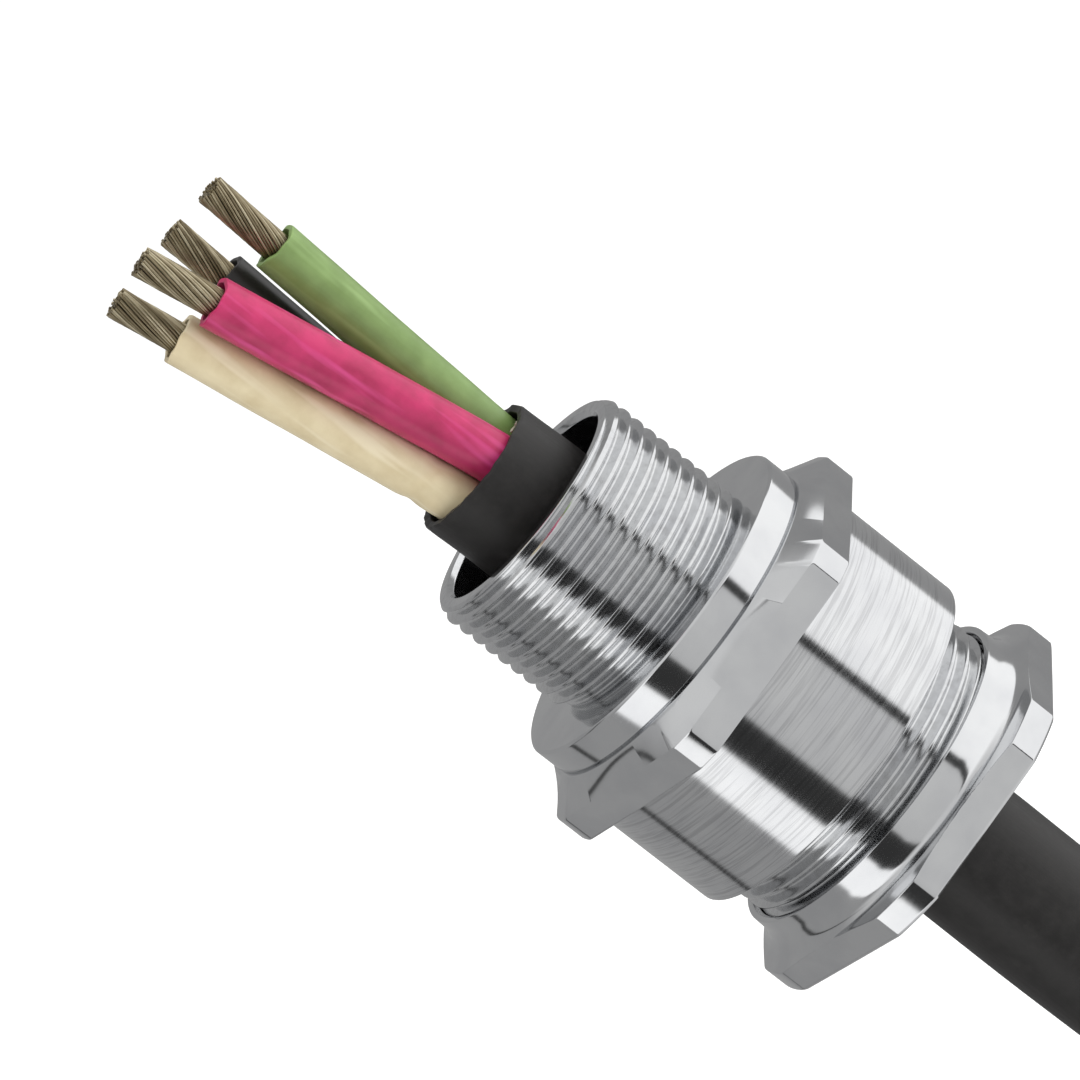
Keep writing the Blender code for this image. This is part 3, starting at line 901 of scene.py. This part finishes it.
def makeSeal():
    low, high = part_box("compression_seal")
    outer, top, bottom = high[0], high[2], low[2]
    outline = [
        (outer - 0.8 * mm, top), (outer, top - 0.8 * mm),
        (outer, bottom + 0.8 * mm), (outer - 0.8 * mm, bottom),
        (seal["inner"] + 0.4 * mm, bottom), (seal["inner"], bottom + 0.8 * mm),
        (seal["inner"], top - 0.8 * mm), (seal["inner"] + 0.4 * mm, top),
    ]
    outline = filledIn(softened(outline, 0.3 * mm), top, bottom, outer - mm, 0.2 * mm)

    def ribbed(radius, height, angle):
        share = (height - bottom) / (top - bottom)
        groove = np.clip(np.cos(share * 2 * math.pi * seal["ribs"]), 0, 1) ** 2 * seal["ribDepth"]
        return np.where(radius > outer - 0.1 * mm, radius - groove, radius), height

    piece = turnedGrid("ribbedSeal", outline, seal["columns"], [neoprene], None, ribbed, sharpDegrees=50)
    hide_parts("compression_seal")
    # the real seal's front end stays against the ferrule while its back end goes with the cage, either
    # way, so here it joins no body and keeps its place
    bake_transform(piece)


makeSeal()
hidden = {"front_ferrule": plainBrass, "skid_washer": plainBrass, "clamp_cage": nylon}
for node, material in hidden.items():
    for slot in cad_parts[node].material_slots:
        slot.material = material
print("seal, ferrule, washer and cage finished")

tail = {
    "length": 88.0 * mm,
    # the cable's own way down from the nut: sideways along X and Y, and share of its length
    "route": [
        (0.0, 0.0, 0.0), (0.0, 0.0, 0.125), (0.0, 0.0, 0.25), (0.0001, 0.0, 0.375), (0.0005, 0.0002, 0.5),
        (0.0011, 0.0005, 0.625), (0.0020, 0.0010, 0.75), (0.0031, 0.0016, 0.875), (0.0044, 0.0024, 1.0),
    ],
    "start": cableBack - 0.3 * mm,
    "endWall": 1.15 * mm,
    "columns": 128,
}


def makeTail():
    points = [(x, y, tail["start"] - tail["length"] * share) for x, y, share in tail["route"]]
    route = Route(points)
    end = route.length
    outside, inside = jacketRadius, jacketRadius - tail["endWall"]
    # the far end shows the sheath's wall, then the insulated cores a little inside it
    outline = [
        (0.02 * mm, 0.0), (outside, 0.0), (outside, end - 0.15 * mm), (outside - 0.15 * mm, end),
        (inside, end),
        (inside - 0.05 * mm, end - 0.7 * mm), (0.02 * mm, end - 0.7 * mm),
    ]
    outline = filledIn(softened(outline[::-1], 0.08 * mm), 1.0, -1.0, inside + 0.3 * mm, 0.8 * mm)

    def drawn(radius, height, angle):
        wave = 0.008 * np.sin(height / (6 * mm) + np.cos(angle) * 1.5) * (height > 9 * mm)
        near = np.clip((height - end + mm) / mm, 0, 1)
        return radius * (1 + wave), height + 0.1 * mm * near * np.sin(2 * angle + 1)

    def along(radius, height, angle):
        return route.place(height, radius * np.cos(angle), radius * np.sin(angle))

    piece = turnedGrid(
        "cableTail", outline, tail["columns"], [sheathPvc], "gland_body", drawn, along, sharpDegrees=50,
    )
    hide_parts("cable_tail")
    return route


tailRoute = makeTail()


def makeTailEnd(route):
    # the cut ends of the four cores, with their strands, flush in the sheath
    end = route.length
    rng = random.Random(11)
    for colour, core in cores.items():
        centre = math.radians(core["from"])
        outside, wire = bundle["coreRadius"] * 0.98, bundle["conductorRadius"]

        def along(radius, height, angle):
            across = bundle["radius"] * math.cos(centre) + radius * np.cos(angle)
            up = bundle["radius"] * math.sin(centre) + radius * np.sin(angle)
            return route.place(height, across, up)

        outline = [
            (wire, end - 2 * mm), (outside, end - 2 * mm), (outside, end - 0.15 * mm),
            (outside - 0.08 * mm, end - 0.06 * mm), (wire, end - 0.06 * mm),
        ]
        turnedEnd = turnedGrid(
            f"tailInsulation_{colour}", outline, 40, [corePvc[colour]], "gland_body", None, along,
            sharpDegrees=40,
        )
        strand = bundle["strandRadius"]
        lines, radii, tones = [], [], []
        for layer in range(6):
            count = 6 * layer if layer else 1
            for index in range(count):
                turn = 2 * math.pi * index / count
                out = layer * 2 * strand * 0.97
                last = end - rng.uniform(0.02, 0.12) * mm
                x = bundle["radius"] * math.cos(centre) + out * math.cos(turn)
                y = bundle["radius"] * math.sin(centre) + out * math.sin(turn)
                lines.append(
                    [
                        route.place(
                            np.array(d), np.array(x), np.array(y),
                        ) for d in (end - 1.6 * mm, end - 0.8 * mm, last)
                    ]
                )
                radii.append(strand * 0.97)
                # each strand's random tone; its light end reaches the painted highlight colour
                tones.append(rng.uniform(0.1, 0.8))
        points, faces, toneList = tubeMesh(lines, radii, 6, tones)
        piece = meshPiece(
            f"tailStrands_{colour}", points, faces, [copperStrand], "gland_body", sharpDegrees=60,
        )
        attribute = piece.data.attributes.new("strandTone", "FLOAT", "POINT")
        attribute.data.foreach_set("value", toneList)


makeTailEnd(tailRoute)
print("tail made:", round(tailRoute.length, 4), "m")

# floor, light and camera

look = {
    "azimuth": -8.0, "elevation": 13.0, "roll": 38.0, "aimUp": 11.6 * mm, "aimAcross": -1.6 * mm,
    "across": 98.0 * mm, "lens": 200.0,
}
viewTurn = math.radians(-90.0 + look["azimuth"])


def makeFloor():
    bpy.ops.mesh.primitive_plane_add(size=12.0, location=(0, 0, tailLow[2] - 0.002))
    floor = bpy.context.object
    floor.name = "studioFloor"
    material, tree, shader = newMaterial("paleStudioFloor", Base_Color=toLinear("#F6F6F5"), Roughness=0.9)
    shader.inputs["Emission Color"].default_value = toLinear("#FFFFFF")
    shader.inputs["Emission Strength"].default_value = 0.42
    floor.data.materials.append(material)
    floor.visible_glossy = False  # the metal then mirrors only the studio's light panels


def makeStudio():
    # light panels standing round the upright gland: angle from the viewer about its axis, and brightness
    panels = [
        (-180, 0.35), (-118, 0.35), (-117, 0.05), (-113, 0.05), (-112, 0.35), (-68, 0.35), (-66.5, 1.3),
        (-41.5, 1.3), (-40.5, 0.04), (-18.5, 0.04), (-17, 0.6), (35.5, 0.7), (36.5, 0.03), (42.5, 0.03),
        (43.5, 1.2), (129, 1.25), (131, 0.33), (180, 0.33),
    ]
    world = bpy.data.worlds.new("softStudio")
    bpy.context.scene.world = world
    world.use_nodes = True
    tree = world.node_tree
    tree.nodes.clear()
    coords = addNode(tree, "ShaderNodeTexCoord")
    split = addNode(tree, "ShaderNodeSeparateXYZ", None, Vector=coords.outputs["Generated"])
    spin = addNode(
        tree, "ShaderNodeVectorRotate", {"rotation_type": "Z_AXIS"}, Vector=coords.outputs["Generated"],
        Angle=-viewTurn,
    )
    spun = addNode(tree, "ShaderNodeSeparateXYZ", None, Vector=spin.outputs[0])
    angle = addNode(
        tree, "ShaderNodeMath", {"operation": "ARCTAN2"}, i0=spun.outputs["Y"], i1=spun.outputs["X"],
    )
    share = addNode(tree, "ShaderNodeMapRange", None, Value=angle.outputs[0])
    share.inputs["From Min"].default_value = -math.pi
    share.inputs["From Max"].default_value = math.pi
    ring = ramp(tree, share.outputs["Result"], [((a + 180) / 360, grey(b)) for a, b in panels])
    # above and below, the panels fade to an even grey
    tall = addNode(tree, "ShaderNodeMath", {"operation": "ABSOLUTE"}, i0=split.outputs["Z"])
    cap = addNode(tree, "ShaderNodeMapRange", {"interpolation_type": "SMOOTHSTEP"}, Value=tall.outputs[0])
    cap.inputs["From Min"].default_value = 0.72
    cap.inputs["From Max"].default_value = 0.95
    light = addNode(
        tree, "ShaderNodeMix", {"data_type": "RGBA"}, i0=cap.outputs["Result"], i6=ring, i7=grey(0.75),
    )
    lit = addNode(tree, "ShaderNodeBackground", None, Color=light.outputs[2], Strength=1.0)
    paper = addNode(tree, "ShaderNodeBackground", None, Color=toLinear("#FBFBFB"), Strength=1.0)
    path = addNode(tree, "ShaderNodeLightPath")
    both = addNode(
        tree, "ShaderNodeMixShader", None, Fac=path.outputs["Is Camera Ray"], i1=lit.outputs[0],
        i2=paper.outputs[0],
    )
    out = addNode(tree, "ShaderNodeOutputWorld")
    tree.links.new(both.outputs[0], out.inputs["Surface"])


def addPanelLight(name, angle, height, distance, size, watts):
    data = bpy.data.lights.new(name, "AREA")
    data.shape = "SQUARE"
    data.size = size
    data.energy = watts
    lamp = bpy.data.objects.new(name, data)
    turn = viewTurn + math.radians(angle)
    lamp.location = (distance * math.cos(turn), distance * math.sin(turn), height)
    lamp.rotation_euler = (-lamp.location).to_track_quat("-Z", "Y").to_euler()
    lamp.visible_glossy = False
    bpy.context.scene.collection.objects.link(lamp)


def makeCamera():
    data = bpy.data.cameras.new("longLens")
    data.lens = look["lens"]
    data.sensor_width = 36.0
    distance = look["across"] / data.sensor_width * 1000 * data.lens * mm
    tilt = math.radians(look["elevation"])
    back = Vector(
        (math.cos(viewTurn) * math.cos(tilt), math.sin(viewTurn) * math.cos(tilt), math.sin(tilt))
    )
    sideways = Vector((-math.sin(viewTurn), math.cos(viewTurn), 0))
    aim = sideways * look["aimAcross"] + Vector((0, 0, look["aimUp"]))
    camera = bpy.data.objects.new("longLens", data)
    camera.location = aim + back * distance
    level = (-back).to_track_quat("-Z", "Y").to_matrix().to_4x4()
    # the entry thread points up and to the left in the picture
    roll = math.radians(90.0 - look["roll"])
    camera.rotation_euler = (level @ Matrix.Rotation(-roll, 4, "Z")).to_euler()
    data.clip_end = 20.0
    bpy.context.scene.collection.objects.link(camera)
    bpy.context.scene.camera = camera


makeFloor()
makeStudio()
addPanelLight("keyPanel", 76.0, 0.12, 0.7, 0.45, 1.8)
addPanelLight("fillPanel", -30.0, 0.35, 0.8, 0.5, 0.6)
addPanelLight("topPanel", 20.0, 0.9, 0.25, 0.6, 3.0)
makeCamera()
print("studio set")
